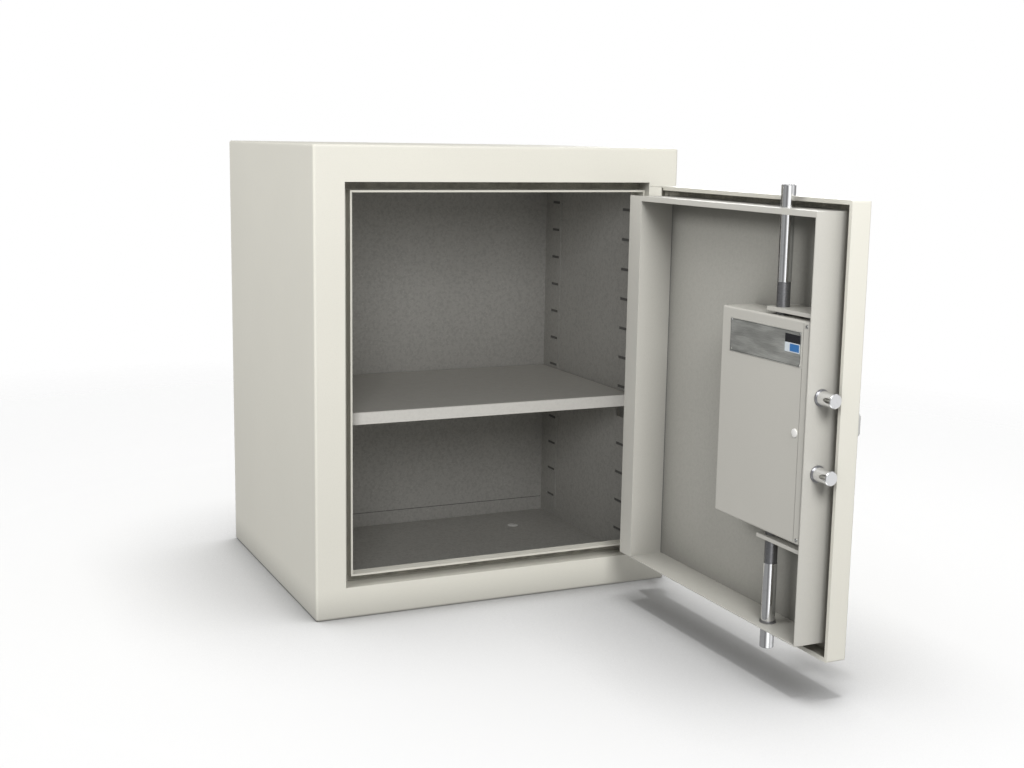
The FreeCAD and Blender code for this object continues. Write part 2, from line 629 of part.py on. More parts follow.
def bushes():
    bore = "bolt_radius + running_fit"
    for label, end, inside in (("top", "tray_high", -1), ("bottom", "tray_low", 1)):
        sleeve = sorted_span(end, inside, "tray_skin")
        collar = sorted_span(f"{end} + {inside} * tray_skin", inside, "collar_thick")
        pieces = [tube("z", ROD_AXIS, ("bush_radius", bore), sleeve),
                  tube("z", ROD_AXIS, ("bush_collar", bore), collar)]
        finish(f"{label}_bolt_bush", fuse(*pieces), on_door=True)
    sides = []
    for side in SIDES.values():
        centre = (BOLT_Y, side)
        flange = tube("x", centre, ("side_collar", bore), ("tray_lead - side_collar_thick", "tray_lead"))
        sleeve = tube("x", centre, ("bush_radius", bore), ("tray_lead", "side_bush_end"))
        sides.append(fuse(flange, sleeve))
    finish("side_bolt_bushes", group(*sides), on_door=True)


def sorted_span(start, sense, length):
    """The span of a length from a start, towards the high or the low side."""
    end = f"{start} + {sense} * ({length})"
    return (start, end) if sense > 0 else (end, start)


def rod_brackets():
    """Guide plates that stand on the tray's sheet."""
    for label, low in (("upper", "bracket_high"), ("lower", "bracket_low")):
        z = (low, f"{low} + bracket_thick")
        plate = box(("bracket_left", "bracket_right"), (PANEL, deep("bracket_deep")), z)
        hole = rod("z", ROD_AXIS, "bracket_hole", past(z))
        finish(f"rod_bracket_{label}", cut(plate, hole), on_door=True)


# ---------------------------------------------------------------- handle, spindle and cam

def cam_disc():
    disc = rod("y", SPINDLE, "cam_radius", (deep("cam_front"), deep("cam_back")))
    hub = rod("y", SPINDLE, "hub_radius", (deep("cam_back"), deep("hub_back")))
    bore = rod("y", SPINDLE, "spindle_radius", past((deep("cam_front"), deep("hub_back"))))
    finish("cam_disc", cut(fuse(disc, hub), bore), on_door=True)


def cam_pins():
    """The pins that push the yoke and the two straps, each on the cam's far face."""
    pins = []
    for across, up, back in (
            ("-pin_near", "pin_far", "short_pin"),
            ("pin_far", "pin_near", "long_pin"),
            ("-pin_far", "-pin_near", "long_pin")):
        centre = (f"spindle_x + {across}", f"spindle_z + {up}")
        pins.append(rod("y", centre, "pin_size", (deep("cam_back"), deep(back))))
    finish("cam_pins", group(*pins), on_door=True)


def handle_spindle():
    spindle = rod("y", SPINDLE, "spindle_radius", (deep("-grip_back"), deep("spindle_end")))
    finish("handle_spindle", spindle, on_door=True)


def spindle_circlip():
    circlip = tube("y", SPINDLE, ("clip_radius", "spindle_radius"), (deep("hub_back"), deep("clip_back")))
    finish("spindle_circlip", circlip, on_door=True)


def handle_grip():
    """A rounded bar with a proud hub, and a neck that takes the spindle's end."""
    body = new_body()
    bar = (around("spindle_x", "grip_half"), around("spindle_z", "grip_tall"))
    extrude(body, "Pad", "y", (deep("-grip_front"), deep("-grip_back")), bar)
    round_edges(body, "grip_radius", lambda edge: True)
    hub_y = (deep("-grip_front - hub_proud"), deep("-grip_back"))
    extrude(body, "Pad", "y", hub_y, (*SPINDLE, "grip_hub"))
    round_edges(body, "hub_round", lambda edge: in_front_plane(edge, DIMENSIONS["grip_front"] + 1))
    neck = (deep("-grip_back - 2"), deep("-rose_thick - grip_gap"))
    extrude(body, "Pad", "y", neck, (*SPINDLE, "grip_neck"))
    extrude(body, "Pocket", "y", (deep("-grip_back"), deep(0)), (*SPINDLE, "spindle_radius"))
    finish("handle_grip", body, on_door=True)


def handle_rose():
    step = deep("-rose_thick + rose_bevel")
    flange = rod("y", SPINDLE, "rose_radius", (step, deep(0)))
    bevel = taper("y", SPINDLE, ("rose_radius - rose_bevel", "rose_radius"), (deep("-rose_thick"), step))
    bore = rod("y", SPINDLE, "spindle_radius + running_fit", past((deep("-rose_thick"), deep(0))))
    finish("handle_rose", cut(fuse(flange, bevel), bore), on_door=True)


# ---------------------------------------------------------------- lock

def lock_core():
    front = deep("-plate_thick")
    core = rod("y", LOCK, "core_radius", (front, deep("core_end")))
    keyway = box(
        around("lock_x", "key_wide / 2"),
        (f"{front} - 1", deep("key_deep")),
        around("spindle_z", "key_tall / 2"))
    finish("lock_core", cut(core, keyway), on_door=True)


def lock_cam():
    """A disc on the lock core's end, with the pin that pushes the lock bolt."""
    disc = rod("y", LOCK, "lock_cam_radius", (deep("core_end"), deep("lock_cam_back")))
    pin_centre = ("lock_x - drive_crank", "spindle_z + drive_crank")
    pin = rod("y", pin_centre, "drive_pin", (deep("lock_cam_back"), deep("drive_end")))
    finish("lock_cam", fuse(disc, pin), on_door=True)


def lock_bolt():
    """A plate with a slot for the lock cam's pin, and a thicker head that slides under the cam disc."""
    z = around("spindle_z", "lock_bolt_half")
    tail_y = (deep("tail_front"), deep("tail_back"))
    tail = box(("lock_bolt_left", "lock_right"), tail_y, z)
    head = box(("lock_bolt_head", "lock_right"), (deep("lock_bolt_front"), deep("tail_back")), z)
    slot = box(
        around("(lock_x - drive_crank)", "lock_slot"),
        past(tail_y),
        ("spindle_z + drive_pin", "spindle_z + drive_crank * 2"))
    finish("lock_bolt", cut(fuse(tail, head), slot), on_door=True)


LOCK_SCREWS = (("lock_screw_x", "lock_screw_high"), ("lock_screw_x", "lock_screw_low"))


def lock_case():
    """A closed box with a window for the lock bolt, a hole for the core and two screw holes."""
    x = ("lock_left", "lock_right")
    y = (PANEL, deep("lock_back"))
    z = ("lock_low", "lock_high")
    cavity = box(inset(x, "lock_skin"), inset(y, "lock_skin"), inset(z, "lock_skin"))
    core = rod("y", LOCK, "core_radius + slot_room", past((PANEL, f"{PANEL} + lock_skin")))
    window = box(
        around("lock_right", "(lock_skin + 1)"),
        (deep("lock_bolt_front - window_room"), deep("tail_back + window_room")),
        around("spindle_z", "(lock_bolt_half + slot_room)"))
    holes = [rod("y", place, "screw_radius", past(y)) for place in LOCK_SCREWS]
    finish("lock_case", cut(box(x, y, z), cavity, core, window, *holes), on_door=True)


def lock_case_screws():
    screws = []
    for place in LOCK_SCREWS:
        shank = rod("y", place, "screw_radius", (PANEL, deep("lock_back")))
        head = rod("y", place, "screw_head", (deep("lock_back"), deep("lock_back + head_thick")))
        screws.append(fuse(shank, head))
    finish("lock_case_screws", group(*screws), on_door=True)


# ---------------------------------------------------------------- key escutcheon and its flap

FLAP_PIVOT = ("lock_x", "flap_pivot")
FLAP_Y = (deep("-plate_thick - flap_gap - flap_thick"), deep("-plate_thick - flap_gap"))


def key_escutcheon():
    y = (deep("-plate_thick"), deep(0))
    z = ("spindle_z - plate_down", "spindle_z + plate_up")
    core = rod("y", LOCK, "core_radius + running_fit", past(y))
    hole = rod("y", FLAP_PIVOT, "rivet_radius", past(y))
    finish("key_escutcheon", cut(box(around("lock_x", "plate_half"), y, z), core, hole), on_door=True)


def key_cover():
    """A flap that hangs from its rivet and covers the keyhole."""
    disc = rod("y", LOCK, "flap_radius", FLAP_Y)
    arm = box(around("lock_x", "flap_boss"), FLAP_Y, ("spindle_z", "flap_pivot"))
    boss = rod("y", FLAP_PIVOT, "flap_boss", FLAP_Y)
    bore = rod("y", FLAP_PIVOT, "rivet_radius + running_fit", past(FLAP_Y))
    finish("key_cover", cut(fuse(disc, arm, boss), bore), on_door=True)


def key_cover_rivet():
    head_back = f"{FLAP_Y[0]} - flap_gap"
    shank = rod("y", FLAP_PIVOT, "rivet_radius", (head_back, deep(0)))
    head = rod("y", FLAP_PIVOT, "rivet_head", (f"{head_back} - rivet_head_thick", head_back))
    finish("key_cover_rivet", fuse(shank, head), on_door=True)


# ---------------------------------------------------------------- cover, its plate and screws

COVER_X = ("cover_left", "cover_right")
COVER_Z = ("cover_low", "cover_high")
COVER_SCREWS = (("cover_screw_x", "cover_screw_low"), ("cover_screw_x", "cover_screw_high"))


def lock_cover():
    """A box open towards the door, with slots for the rods and bolts and a crease down its face."""
    body = new_body()
    top = DIMENSIONS["cover_back"]
    extrude(body, "Pad", "y", (PANEL, deep("cover_back")), (COVER_X, COVER_Z))
    round_edges(body, "cover_radius", lambda edge: runs_deep(edge) or behind_front(edge, top))
    room = (inset(COVER_X, "cover_skin"), inset(COVER_Z, "cover_skin"))
    before = deep("panel_back - 1")
    extrude(body, "Pocket", "y", (before, deep("cover_back - cover_skin")), room)
    rods_slot = (around("spindle_x", "rod_slot"), (before, deep("slot_back")))
    extrude(body, "Pocket", "z", past(COVER_Z), rods_slot)
    slots = [((before, deep("slot_back")), around(side, "rod_slot")) for side in SIDES.values()]
    extrude(body, "Pocket", "x", past(("cover_left", "cover_left + cover_skin")), *slots)
    holes = [(*place, "cover_shank") for place in COVER_SCREWS]
    holes.append((*LOCK, "plug_stem"))
    extrude(body, "Pocket", "y", past((deep("cover_back - cover_skin"), deep("cover_back"))), *holes)
    crease = (around("crease", "crease_half"), inset(COVER_Z, "cover_radius"))
    extrude(body, "Pocket", "y", (deep("cover_back - crease_half"), deep("cover_back + 1")), crease)
    finish("lock_cover", body, on_door=True)


COVER_TOP = deep("cover_back - cover_skin")
COVER_THREAD = (f"{COVER_TOP} - thread", f"{COVER_TOP} + 1")


def cover_posts():
    posts = []
    for place in COVER_SCREWS:
        post = rod("y", place, "post_radius", (PANEL, COVER_TOP))
        posts.append(cut(post, rod("y", place, "cover_shank", COVER_THREAD)))
    finish("cover_posts", group(*posts), on_door=True)


def cover_screws():
    screws = []
    for place in COVER_SCREWS:
        shank = rod("y", place, "cover_shank", (COVER_THREAD[0], deep("cover_back")))
        head_y = (deep("cover_back"), deep("cover_back + cover_head_thick"))
        screws.append(fuse(shank, rod("y", place, "cover_head", head_y)))
    finish("cover_screws", group(*screws), on_door=True)


def cover_plug():
    stem = rod("y", LOCK, "plug_stem", (deep("cover_back - plug_deep"), deep("cover_back")))
    cap = rod("y", LOCK, "plug_radius", (deep("cover_back"), deep("cover_back + plug_thick")))
    finish("cover_plug", fuse(stem, cap), on_door=True)


PLATE_X = ("label_left", "label_right")
PLATE_Y = (deep("cover_back"), deep("cover_back + label_thick"))
PLATE_Z = ("label_low", "label_high")
PLATE_RIVETS = [(x, z) for x in inset(PLATE_X, "label_inset") for z in inset(PLATE_Z, "label_inset")]


def rating_plate():
    holes = [rod("y", place, "label_rivet", past(PLATE_Y)) for place in PLATE_RIVETS]
    finish("rating_plate", cut(box(PLATE_X, PLATE_Y, PLATE_Z), *holes), on_door=True)


def plate_rivets():
    rivets = []
    for place in PLATE_RIVETS:
        dome_y = (PLATE_Y[1], f"{PLATE_Y[1]} + dome_thick")
        dome = taper("y", place, ("rivet_dome", "rivet_dome / 2"), dome_y)
        rivets.append(fuse(rod("y", place, "label_rivet", PLATE_Y), dome))
    finish("plate_rivets", group(*rivets), on_door=True)


def plate_sticker():
    x = ("sticker_left", "sticker_right")
    y = (PLATE_Y[1], f"{PLATE_Y[1]} + sticker_thick")
    finish("plate_sticker", box(x, y, ("sticker_low", "sticker_high")), on_door=True)


# ---------------------------------------------------------------- assembly and export

def build():
    outer_casing()
    rear_panel()
    body_insulation()
    inner_liner()
    front_frame()
    frame_seal()
    shelf()
    shelf_strips()
    shelf_clips()
    anchor_plugs()
    for label, level in (("upper", "hinge_high"), ("lower", "hinge_low")):
        hinge_cabinet_half(label, level)
        hinge_pin(label, level)
        hinge_door_half(label, level)
    hinge_washers()
    door_pan()
    door_board("door_insulation", (FACE, deep("panel_front")))
    door_board("door_inner_panel", (deep("panel_front"), PANEL))
    door_tray()
    door_seal()
    side_bolts()
    bolt_carrier()
    carrier_screws()
    vertical_bolts()
    rods()
    bushes()
    rod_brackets()
    cam_disc()
    cam_pins()
    handle_spindle()
    spindle_circlip()
    handle_grip()
    handle_rose()
    lock_core()
    lock_cam()
    lock_bolt()
    lock_case()
    lock_case_screws()
    key_escutcheon()
    key_cover()
    key_cover_rivet()
    lock_cover()
    cover_posts()
    cover_screws()
    cover_plug()
    rating_plate()
    plate_rivets()
    plate_sticker()


def export():
    doc.recompute()
    faults = [obj.Label for obj in doc.Objects if {"Invalid", "Error"} & set(obj.State)]
    faults += [obj.Label for obj in parts if obj.Shape.isNull() or not obj.Shape.isValid()]
    if faults:
        raise SystemExit("faulty objects: " + ", ".join(faults))
    os.makedirs("parts", exist_ok=True)
    for obj in parts:
        obj.Shape.exportStep(f"parts/{obj.Label}.step")
        print(f"{obj.Label}: {len(obj.Shape.Solids)} solids, {obj.Shape.Volume:.0f} mm3")


build()
export()
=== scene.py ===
import json
import math

import bmesh
import bpy
from mathutils import Matrix, Vector


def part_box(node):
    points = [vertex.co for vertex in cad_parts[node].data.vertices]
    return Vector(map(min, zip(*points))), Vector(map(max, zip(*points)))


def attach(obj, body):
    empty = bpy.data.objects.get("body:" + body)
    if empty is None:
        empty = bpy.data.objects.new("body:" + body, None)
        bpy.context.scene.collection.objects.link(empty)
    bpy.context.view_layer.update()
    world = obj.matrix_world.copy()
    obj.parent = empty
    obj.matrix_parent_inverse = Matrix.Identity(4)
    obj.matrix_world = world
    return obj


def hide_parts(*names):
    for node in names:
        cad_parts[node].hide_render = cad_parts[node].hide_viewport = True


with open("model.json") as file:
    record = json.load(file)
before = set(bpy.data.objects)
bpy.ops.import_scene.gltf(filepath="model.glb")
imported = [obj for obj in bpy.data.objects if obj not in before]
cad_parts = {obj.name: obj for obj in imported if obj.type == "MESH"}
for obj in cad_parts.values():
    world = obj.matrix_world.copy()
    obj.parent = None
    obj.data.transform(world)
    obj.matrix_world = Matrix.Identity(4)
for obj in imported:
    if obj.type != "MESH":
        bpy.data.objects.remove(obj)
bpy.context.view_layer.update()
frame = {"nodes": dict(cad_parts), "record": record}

# Looks of the document cabinet, in metres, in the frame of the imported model. The cabinet faces
# -Y. The door stands open along -Y: its outside faces +X, its inside faces -X into the room, and
# its leading edge is its lowest Y.
NODES = frame["nodes"]
MM = 0.001

# ---------------------------------------------------------------- node helpers

# Nearly all values of a noise lie between these.
NOISE_SPAN = (0.3, 0.7)


class Look:
    """One procedural material: a Principled shader and the nodes that feed it."""

    def __init__(self, name, colour, roughness, metallic=0.0, specular=0.5):
        self.material = bpy.data.materials.new(name)
        self.material.use_nodes = True
        self.tree = self.material.node_tree
        self.shader = self.tree.nodes["Principled BSDF"]
        self.shader.inputs["Base Color"].default_value = (*colour, 1)
        self.shader.inputs["Roughness"].default_value = roughness
        self.shader.inputs["Metallic"].default_value = metallic
        self.shader.inputs["Specular IOR Level"].default_value = specular
        self.colour = colour
        self.place = self.add("ShaderNodeTexCoord").outputs["Object"]
        self.normal = None

    def add(self, kind, **settings):
        node = self.tree.nodes.new(kind)
        for name, value in settings.items():
            setattr(node, name, value)
        return node

    def link(self, output, socket):
        self.tree.links.new(output, socket)

    def stretched(self, scales):
        """The object's coordinates, multiplied along each axis."""
        node = self.add("ShaderNodeVectorMath", operation="MULTIPLY")
        self.link(self.place, node.inputs[0])
        node.inputs[1].default_value = scales
        return node.outputs["Vector"]

    def noise(self, scale, detail=2.0, roughness=0.5, scales=None):
        node = self.add("ShaderNodeTexNoise")
        self.link(self.stretched(scales) if scales else self.place, node.inputs["Vector"])
        node.inputs["Scale"].default_value = scale
        node.inputs["Detail"].default_value = detail
        node.inputs["Roughness"].default_value = roughness
        return node.outputs["Fac"]

    def cells(self, scale):
        node = self.add("ShaderNodeTexVoronoi")
        self.link(self.place, node.inputs["Vector"])
        node.inputs["Scale"].default_value = scale
        return node.outputs["Distance"]

    def fit(self, value, low, high, to_low=0.0, to_high=1.0):
        """A value spread from one range to another, and held at its ends."""
        node = self.add("ShaderNodeMapRange")
        self.link(value, node.inputs["Value"])
        ends = {"From Min": low, "From Max": high, "To Min": to_low, "To Max": to_high}
        for name, number in ends.items():
            node.inputs[name].default_value = number
        return node.outputs["Result"]

    def math(self, operation, first, second):
        """One step of arithmetic on two values, each a number or a socket."""
        node = self.add("ShaderNodeMath", operation=operation)
        for socket, item in zip(node.inputs, (first, second)):
            if isinstance(item, (int, float)):
                socket.default_value = item
            else:
                self.link(item, socket)
        return node.outputs["Value"]

    def axis(self, name):
        """One coordinate of the place, in metres."""
        node = self.add("ShaderNodeSeparateXYZ")
        self.link(self.place, node.inputs[0])
        return node.outputs[name]

    def tint(self, factor, colour):
        """Mix another colour over what the shader has so far."""
        node = self.add("ShaderNodeMix", data_type="RGBA")
        self.link(factor, node.inputs["Factor"])
        socket = self.shader.inputs["Base Color"]
        if socket.is_linked:
            self.link(socket.links[0].from_socket, node.inputs["A"])
        else:
            node.inputs["A"].default_value = socket.default_value
        node.inputs["B"].default_value = (*colour, 1)
        self.link(node.outputs["Result"], socket)

    def mottle(self, value, low, high, strength, colour):
        """Mix another colour in as a value goes from low to high, up to a strength."""
        self.tint(self.fit(value, low, high, 0.0, strength), colour)

    def vary_roughness(self, factor, low, high):
        self.link(self.fit(factor, *NOISE_SPAN, low, high), self.shader.inputs["Roughness"])

    def bump(self, height, strength, distance):
        """Relief, laid over the relief there is so far."""
        node = self.add("ShaderNodeBump")
        node.inputs["Strength"].default_value = strength
        node.inputs["Distance"].default_value = distance
        self.link(height, node.inputs["Height"])
        if self.normal is not None:
            self.link(self.normal, node.inputs["Normal"])
        self.normal = node.outputs["Normal"]
        self.link(self.normal, self.shader.inputs["Normal"])

    def soft_edges(self, radius):
        """Light rolls round a sheet's edges, as it does on folded and painted steel."""
        node = self.add("ShaderNodeBevel", samples=4)
        node.inputs["Radius"].default_value = radius
        self.normal = node.outputs["Normal"]
        self.link(self.normal, self.shader.inputs["Normal"])


def shade(colour, factor):
    return tuple(channel * factor for channel in colour)


# ---------------------------------------------------------------- materials

PAINT = (0.86, 0.84, 0.75)
# The tray, panel and cover colours are darker copies of the casing paint, as painted shade. The
# shelf colour is a lighter copy of the inside paint, as painted light.
SHADED_TRAY_PAINT = (0.68, 0.665, 0.61)
SHADED_PANEL_PAINT = (0.54, 0.53, 0.485)
SHADED_COVER_PAINT = (0.62, 0.605, 0.555)
INSIDE = (0.56, 0.55, 0.52)
LIT_SHELF_PAINT = (0.64, 0.625, 0.585)
EDGE_ROUND = 0.9 * MM
# The share of open surroundings at which an inner corner's painted shade is darkest, and the share
# of its colour that it is mixed towards.
CORNER_TIGHT, CORNER_DARK = 0.40, 0.30


def painted_corner_shade(look, reach, strength):
    """Paint shade into the colour softly where something stands close to it, as in inner corners.
    """
    near = look.add("ShaderNodeAmbientOcclusion", samples=8)
    near.inputs["Distance"].default_value = reach
    closed = look.fit(near.outputs["AO"], CORNER_TIGHT, 1.0, strength, 0.0)
    look.tint(closed, shade(look.colour, CORNER_DARK))


def powder_coat(name, colour, speck=0.0, corners=None):
    """Fine textured powder coat: a soft orange peel, a finer grain, and faint clouding."""
    look = Look(name, colour, 0.46, specular=0.42)
    look.soft_edges(EDGE_ROUND)
    look.mottle(look.noise(5, 3), 0.35, 0.65, 0.5, shade(colour, 0.965))
    grain = look.noise(850, 2)
    look.mottle(grain, 0.52, 0.72, 0.35, shade(colour, 0.90))
    if speck:
        look.mottle(look.noise(170, 4, 0.7), 0.46, 0.62, speck, shade(colour, 0.70))
        look.mottle(look.noise(380, 2, 0.6), 0.58, 0.68, speck, shade(colour, 1.25))
    look.vary_roughness(look.noise(60, 3), 0.40, 0.52)
    look.bump(look.noise(380, 2), 0.16, 0.25 * MM)
    look.bump(grain, 0.10, 0.12 * MM)
    # Painted shade in inner corners.
    if corners:
        painted_corner_shade(look, *corners)
    return look.material


def mineral_board():
    """Pale board with shade painted in for its pores, and a few grey grains."""
    colour = (0.72, 0.70, 0.64)
    look = Look("insulation_board", colour, 0.92, specular=0.2)
    look.mottle(look.noise(90, 5, 0.6), 0.40, 0.66, 1.0, shade(colour, 0.80))
    # Painted shade: darker towards each cell's middle, for the pores.
    look.tint(look.fit(look.cells(260), 0.0, 0.16, 0.55, 0.0), shade(colour, 0.45))
    look.bump(look.noise(300, 5, 0.65), 0.55, 0.8 * MM)
    return look.material


def fire_strip():
    """Matt strip with pale specks and darker clouds."""
    colour = (0.40, 0.385, 0.34)
    look = Look("intumescent_strip", colour, 0.88, specular=0.25)
    look.mottle(look.noise(900, 3, 0.7), 0.45, 0.70, 0.7, shade(colour, 1.9))
    look.mottle(look.noise(70, 4), 0.40, 0.65, 0.6, shade(colour, 0.65))
    look.bump(look.noise(600, 4, 0.7), 0.5, 0.3 * MM)
    return look.material


def plastic(name, colour, roughness, grain):
    """Moulded plastic with a fine grain."""
    look = Look(name, colour, roughness, specular=0.5)
    look.mottle(look.noise(40, 3), 0.4, 0.65, 0.4, shade(colour, 0.93))
    look.vary_roughness(look.noise(150, 3), roughness - 0.04, roughness + 0.06)
    look.bump(look.cells(grain), 0.22, 0.12 * MM)
    return look.material


def ring_scales(along, close, loose):
    """Noise scales that draw rings round an axis: close along it, and loose across it."""
    return tuple(close if axis == along else loose for axis in "xyz")


def chrome(name, along):
    """Bright plating over turned steel: fine rings across the bar's axis, and faint wear."""
    look = Look(name, (0.83, 0.835, 0.845), 0.09, metallic=1.0)
    rings = look.noise(1.0, 3, 0.6, scales=ring_scales(along, 2600.0, 3.0))
    look.mottle(look.noise(160, 4, 0.6), 0.55, 0.72, 0.35, (0.62, 0.62, 0.63))
    look.vary_roughness(look.noise(45, 4), 0.06, 0.15)
    look.bump(rings, 0.05, 0.05 * MM)
    return look.material


def dark_steel(name, along):
    """Blackened steel with close turning marks and a scatter of darker spots."""
    colour = (0.25, 0.25, 0.26)
    look = Look(name, colour, 0.38, metallic=0.9)
    marks = look.noise(1.0, 2, 0.5, scales=ring_scales(along, 4200.0, 90.0))
    look.mottle(marks, 0.48, 0.70, 0.45, shade(colour, 1.9))
    look.mottle(look.noise(420, 3, 0.6), 0.58, 0.72, 0.6, shade(colour, 0.35))
    look.vary_roughness(look.noise(240, 3), 0.30, 0.50)
    look.bump(marks, 0.15, 0.05 * MM)
    return look.material


def zinc():
    """Zinc plated steel with a faint spangle and a yellowish cast in places."""
    colour = (0.60, 0.605, 0.60)
    look = Look("plain_steel", colour, 0.34, metallic=1.0)
    look.soft_edges(0.5 * MM)
    look.mottle(look.cells(180), 0.15, 0.55, 0.55, shade(colour, 0.78))
    look.mottle(look.noise(70, 3), 0.52, 0.70, 0.45, (0.58, 0.55, 0.46))
    look.vary_roughness(look.noise(260, 4, 0.6), 0.26, 0.46)
    look.bump(look.noise(700, 3), 0.12, 0.1 * MM)
    return look.material


# The dark line round the plate: how far in from its edge it begins and ends, and how soft it is.
LINE_FROM, LINE_TO, LINE_SOFT = 0.9 * MM, 1.5 * MM, 0.2 * MM


def brushed_plate():
    """Aluminium brushed along the plate, with a dark line printed round its edge."""
    colour = (0.62, 0.63, 0.61)
    look = Look("plate_aluminium", colour, 0.36, metallic=0.75)
    strokes = look.noise(1.0, 4, 0.7, scales=(500.0, 45.0, 1300.0))
    look.mottle(strokes, 0.40, 0.66, 1.0, shade(colour, 1.45))
    broad = look.noise(1.0, 2, 0.5, scales=(20.0, 14.0, 60.0))
    look.mottle(broad, 0.42, 0.62, 0.45, shade(colour, 0.62))
    look.mottle(broad, 0.55, 0.40, 0.40, shade(colour, 1.45))
    low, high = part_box("rating_plate")
    line = None
    for name, index in (("Y", 1), ("Z", 2)):
        middle = (low[index] + high[index]) / 2
        half = (high[index] - low[index]) / 2
        away = look.math("ABSOLUTE", look.math("SUBTRACT", look.axis(name), middle), 0)
        rim = look.math("SUBTRACT", half, away)
        line = rim if line is None else look.math("MINIMUM", line, rim)
    begun = look.fit(line, LINE_FROM, LINE_FROM + LINE_SOFT)
    ended = look.fit(line, LINE_TO, LINE_TO + LINE_SOFT, 1.0, 0.0)
    ink = look.math("MULTIPLY", begun, look.math("MULTIPLY", ended, 0.75))
    look.tint(ink, (0.06, 0.06, 0.065))
    look.link(look.fit(strokes, 0.35, 0.7, 0.28, 0.46), look.shader.inputs["Roughness"])
    look.bump(strokes, 0.18, 0.06 * MM)
    return look.material


# The label's fields, as shares of its height and width: the foot of the dark band, and the
# block's sides.
BAND_FOOT = 0.52
BLOCK_LOW, BLOCK_HIGH = 0.05, 0.47
BLOCK_NEAR, BLOCK_FAR = 0.04, 0.66


def printed_film():
    """A label in three plain fields: dark over pale, with a blue block."""
    look = Look("printed_label", (0.74, 0.80, 0.84), 0.28)
    low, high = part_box("plate_sticker")
    height = look.axis("Z")
    across = look.axis("Y")
    tall = high.z - low.z
    wide = high.y - low.y
    soft = 0.1 * MM

    def beyond(value, edge):
        return look.fit(value, edge, edge + soft)

    def short_of(value, edge):
        return look.fit(value, edge, edge + soft, 1.0, 0.0)

    band = beyond(height, low.z + BAND_FOOT * tall)
    above = beyond(height, low.z + BLOCK_LOW * tall)
    below = short_of(height, low.z + BLOCK_HIGH * tall)
    left = beyond(across, low.y + BLOCK_NEAR * wide)
    right = short_of(across, low.y + BLOCK_FAR * wide)
    upright = look.math("MULTIPLY", above, below)
    block = look.math("MULTIPLY", upright, look.math("MULTIPLY", left, right))
    look.tint(block, (0.05, 0.20, 0.50))
    look.tint(band, (0.018, 0.018, 0.022))
    look.mottle(look.noise(900, 2), 0.55, 0.75, 0.10, (0.5, 0.5, 0.5))
    look.bump(look.noise(500, 2), 0.06, 0.05 * MM)
    return look.material


def slot_shade_and_seam():
    """Painted shade for the unlit depth of a slot, and the dark of a seam: dark, with a little
    dust.
    """
    look = Look("slot_shade_and_seam", (0.20, 0.197, 0.19), 0.9, specular=0.1)
    look.mottle(look.noise(500, 3), 0.5, 0.7, 0.6, (0.24, 0.235, 0.22))
    return look.material


def brass():
    """Turned brass with darker, tarnished spots."""
    look = Look("lock_brass", (0.70, 0.52, 0.23), 0.24, metallic=1.0)
    rings = look.noise(1.0, 3, 0.6, scales=ring_scales("x", 2200.0, 40.0))
    look.mottle(look.noise(300, 4, 0.6), 0.50, 0.72, 0.6, (0.42, 0.29, 0.12))
    look.vary_roughness(look.noise(200, 3), 0.18, 0.36)
    look.bump(rings, 0.10, 0.05 * MM)
    return look.material


# Each paint's corners are the reach of the shade painted into its inner corners, and its strength.
PAINTS = {
    "casing": powder_coat("casing_paint", PAINT, corners=(0.05, 0.60)),
    "tray": powder_coat("casing_paint_tray_painted_shade", SHADED_TRAY_PAINT, speck=0.04, corners=(0.09, 0.55)),
    "panel": powder_coat("casing_paint_panel_painted_shade", SHADED_PANEL_PAINT, speck=0.20, corners=(0.20, 0.80)),
    "cover": powder_coat("casing_paint_cover_painted_shade", SHADED_COVER_PAINT, corners=(0.03, 0.30)),
    "inside": powder_coat("interior_paint", INSIDE, speck=0.50, corners=(0.10, 0.25)),
    "shelf": powder_coat("interior_paint_shelf_painted_light", LIT_SHELF_PAINT, speck=0.15),
}
LOOKS = {
    "insulation_board": mineral_board(),
    "intumescent_strip": fire_strip(),
    "white_plastic": plastic("white_plastic", (0.94, 0.93, 0.90), 0.28, 900),
    "handle_plastic": plastic("handle_plastic", (0.62, 0.62, 0.60), 0.34, 700),
    "chrome_upright": chrome("bolt_chrome", "z"),
    "chrome_side": chrome("bolt_chrome_side", "y"),
    "chrome_flat": chrome("bolt_chrome_flat", "x"),
    "slot_shade_and_seam": slot_shade_and_seam(),
    "dark_upright": dark_steel("dark_steel", "z"),
    "dark_side": dark_steel("dark_steel_side", "y"),
    "plain_steel": zinc(),
    "plate_aluminium": brushed_plate(),
    "printed_label": printed_film(),
    "lock_brass": brass(),
}
CHROME_UPRIGHT = ("top_bolt", "bottom_bolt")
CHROME_FLAT = ("key_escutcheon", "key_cover")
DARK_SIDE = ("side_bolt_bushes", "carrier_screws")
# The tray, panel, cover and rod brackets take the darker copies of the casing paint (painted
# shade), and the shelf takes the lighter copy of the inside paint (painted light).
PAINT_OF = {
    "inner_liner": "inside",
    "shelf_strips_left": "inside",
    "shelf_strips_right": "inside",
    "shelf": "shelf",
    "door_inner_panel": "panel",
    "door_tray": "tray",
    "lock_cover": "cover",
    "rod_bracket_upper": "cover",
    "rod_bracket_lower": "cover",
}


def material_for(node, slot):
    """The look of a CAD node, from its slot in the record and from how it lies."""
    if node in PAINT_OF:
        return PAINTS[PAINT_OF[node]]
    if slot == "casing_paint":
        return PAINTS["casing"]
    if node in CHROME_FLAT:
        return LOOKS["chrome_flat"]
    if slot == "bolt_chrome":
        return LOOKS["chrome_upright" if node in CHROME_UPRIGHT else "chrome_side"]
    if slot == "dark_steel":
        return LOOKS["dark_side" if node in DARK_SIDE else "dark_upright"]
    return LOOKS[slot]


